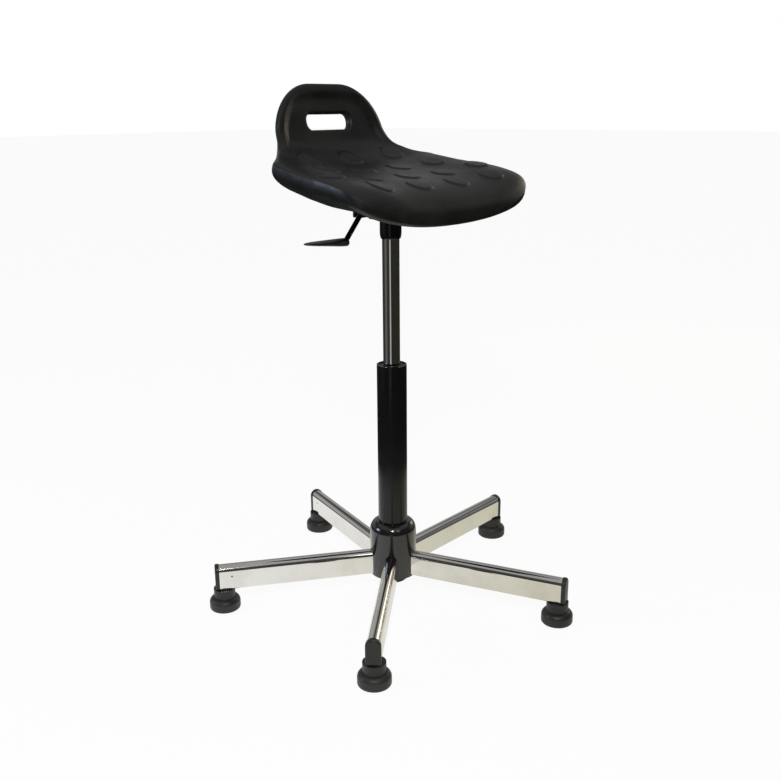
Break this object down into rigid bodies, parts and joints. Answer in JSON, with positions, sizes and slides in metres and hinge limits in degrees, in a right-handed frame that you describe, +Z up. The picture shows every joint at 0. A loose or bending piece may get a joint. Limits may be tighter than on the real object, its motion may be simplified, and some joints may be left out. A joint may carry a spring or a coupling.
{
  "type": "medical stool",
  "caption": "Height-adjustable swivel stool: moulded seat with low back and hand hole, gas lift with side lever, star base on glides.",
  "frame": {"origin": "on the floor under the column axis", "axes": "+Z up, -Y the way the sitter faces, +X to the sitter's left"},
  "size_m": [0.5866, 0.614, 0.8586],
  "materials": {
    "chromed_steel": "polished",
    "black_plastic": "satin",
    "glossy_black_plastic": "gloss",
    "black_painted_steel": "gloss",
    "plain_steel": "satin",
    "bearing_steel": "polished",
    "moulded_foam": "satin grained skin",
    "black_rubber": "matte",
    "plywood": "raw",
    "aluminium": "machined",
    "brass": "machined"
  },
  "bodies": {
    "base": {"hub": "black_painted_steel", "hub_cover": "glossy_black_plastic", "column_tube": "black_painted_steel", "guide_bush": "black_plastic", "lower_race": "bearing_steel", "leg_1": "chromed_steel", "leg_2": "chromed_steel", "leg_3": "chromed_steel", "leg_4": "chromed_steel", "leg_5": "chromed_steel", "leg_plug_1": "black_plastic", "leg_plug_2": "black_plastic", "leg_plug_3": "black_plastic", "leg_plug_4": "black_plastic", "leg_plug_5": "black_plastic"},
    "swivel": {"piston_rod": "plain_steel", "piston": "aluminium", "piston_ring": "black_rubber", "piston_nut": "plain_steel", "rod_clip": "plain_steel", "upper_race": "bearing_steel", "bearing_balls": "bearing_steel", "ball_cage": "brass", "damper_ring": "black_rubber"},
    "seat_lift": {"gas_cylinder": "chromed_steel", "rod_guide": "aluminium", "rod_seal": "black_rubber", "pressure_tube": "plain_steel", "valve_body": "aluminium", "seat_socket": "black_painted_steel", "mounting_plate": "black_painted_steel", "plate_bolts": "plain_steel", "plate_washers": "plain_steel", "tee_nuts": "plain_steel", "seat_board": "plywood", "pivot_pin": "plain_steel", "pivot_clip": "plain_steel", "seat": "moulded_foam"},
    "lever": {"lever_rod": "black_painted_steel", "lever_paddle": "black_plastic"},
    "valve_pin": {"release_pin": "plain_steel"},
    "glide_1": {"glide_foot_1": "black_plastic", "glide_stem_1": "plain_steel", "glide_ring_1": "plain_steel"},
    "glide_2": {"glide_foot_2": "black_plastic", "glide_stem_2": "plain_steel", "glide_ring_2": "plain_steel"},
    "glide_3": {"glide_foot_3": "black_plastic", "glide_stem_3": "plain_steel", "glide_ring_3": "plain_steel"},
    "glide_4": {"glide_foot_4": "black_plastic", "glide_stem_4": "plain_steel", "glide_ring_4": "plain_steel"},
    "glide_5": {"glide_foot_5": "black_plastic", "glide_stem_5": "plain_steel", "glide_ring_5": "plain_steel"}
  },
  "joints": [
    {"name": "seat_swivel", "type": "hinge", "parent": "base", "child": "swivel", "pos_m": [0, 0, 0.026], "axis": [0, 0, 1], "continuous": true},
    {"name": "seat_height", "type": "slide", "parent": "swivel", "child": "seat_lift", "axis": [0, 0, 1], "range_m": [-0.2, 0]},
    {"name": "height_lever", "type": "hinge", "parent": "seat_lift", "child": "lever", "pos_m": [-0.03, 0, 0.67285], "axis": [0, 1, 0], "range_deg": [0, 6], "stiffness_Nm_per_rad": 6, "springref_deg": -2.86},
    {"name": "valve_press", "type": "slide", "parent": "seat_lift", "child": "valve_pin", "axis": [0, 0, 1], "range_m": [-0.0033, 0]},
    {"name": "glide_turn_1", "type": "hinge", "parent": "base", "child": "glide_1", "pos_m": [0.2955, 0, 0.038], "axis": [0, 0, 1], "continuous": true},
    {"name": "glide_turn_2", "type": "hinge", "parent": "base", "child": "glide_2", "pos_m": [0.09131, 0.28104, 0.038], "axis": [0, 0, 1], "continuous": true},
    {"name": "glide_turn_3", "type": "hinge", "parent": "base", "child": "glide_3", "pos_m": [-0.23906, 0.17369, 0.038], "axis": [0, 0, 1], "continuous": true},
    {"name": "glide_turn_4", "type": "hinge", "parent": "base", "child": "glide_4", "pos_m": [-0.23906, -0.17369, 0.038], "axis": [0, 0, 1], "continuous": true},
    {"name": "glide_turn_5", "type": "hinge", "parent": "base", "child": "glide_5", "pos_m": [0.09131, -0.28104, 0.038], "axis": [0, 0, 1], "continuous": true}
  ],
  "couplings": [
    {"joint": "valve_press", "follows": "height_lever", "m_per_rad": -0.03}
  ]
}
